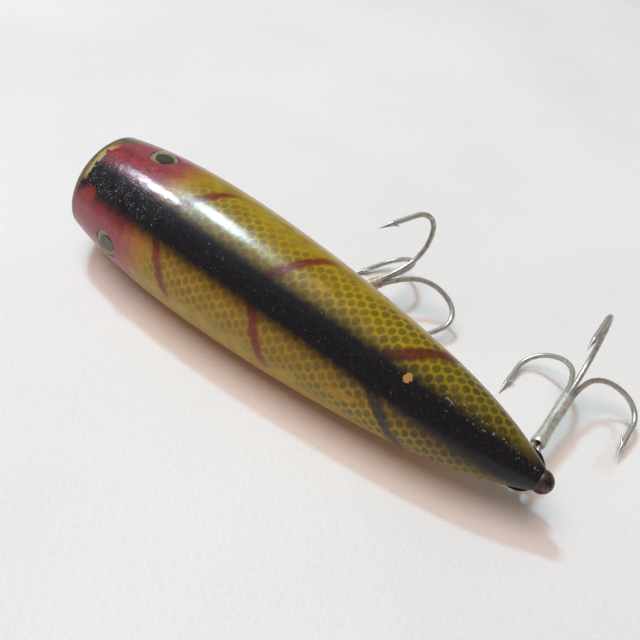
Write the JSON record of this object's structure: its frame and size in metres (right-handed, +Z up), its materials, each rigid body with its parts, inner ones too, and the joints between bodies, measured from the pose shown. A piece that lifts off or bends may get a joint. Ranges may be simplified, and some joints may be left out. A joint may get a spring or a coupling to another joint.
{
  "type": "crankbait lure",
  "caption": "Wooden fishing plug with a scooped nose, glass eyes and two swinging treble hooks, lying on its left side.",
  "frame": {"origin": "on the table under the middle of the lure's bounding box, as it lies at rest", "axes": "+X along the body towards the nose, +Z up from the table; the lure lies rolled onto its left side, with its back towards +Y and its hooks towards -Y"},
  "size_m": [0.1046, 0.0498, 0.0242],
  "materials": {
    "painted_wood": "gloss varnish over paint",
    "nickel_wire": "worn tinned wire",
    "screw_eye_wire": "dull nickel",
    "old_brass": "tarnished",
    "tail_pin_bronze": "dark tarnished",
    "braze": "dull braze",
    "iris_paint": "gloss",
    "pupil_paint": "gloss",
    "eye_glass": "clear"
  },
  "bodies": {
    "lure": {"wooden_body": "painted_wood", "line_tie": "screw_eye_wire", "line_tie_washer": "old_brass", "belly_hook_cup": "old_brass", "belly_screw_eye": "screw_eye_wire", "tail_hook_washer": "old_brass", "tail_screw_eye": "screw_eye_wire", "tail_pin": "tail_pin_bronze", "eye_iris_left": "iris_paint", "eye_pupil_left": "pupil_paint", "eye_glass_left": "eye_glass", "eye_stem_left": "screw_eye_wire", "eye_iris_right": "iris_paint", "eye_pupil_right": "pupil_paint", "eye_glass_right": "eye_glass", "eye_stem_right": "screw_eye_wire"},
    "belly_treble": {"belly_hook_double": "nickel_wire", "belly_hook_single": "nickel_wire", "belly_hook_braze": "braze"},
    "tail_treble": {"tail_hook_double": "nickel_wire", "tail_hook_single": "nickel_wire", "tail_hook_braze": "braze"}
  },
  "joints": [
    {"name": "belly_hook_swing", "type": "hinge", "parent": "lure", "child": "belly_treble", "pos_m": [0.00456, 0.0029, 0.00376], "axis": [-0.0322, 0.2436, 0.9693], "range_deg": [-58, 88]},
    {"name": "tail_hook_swing", "type": "hinge", "parent": "lure", "child": "tail_treble", "pos_m": [-0.04129, 0.00564, 0.0048], "axis": [-0.0328, 0.153, 0.9877], "range_deg": [-150, 50]}
  ]
}
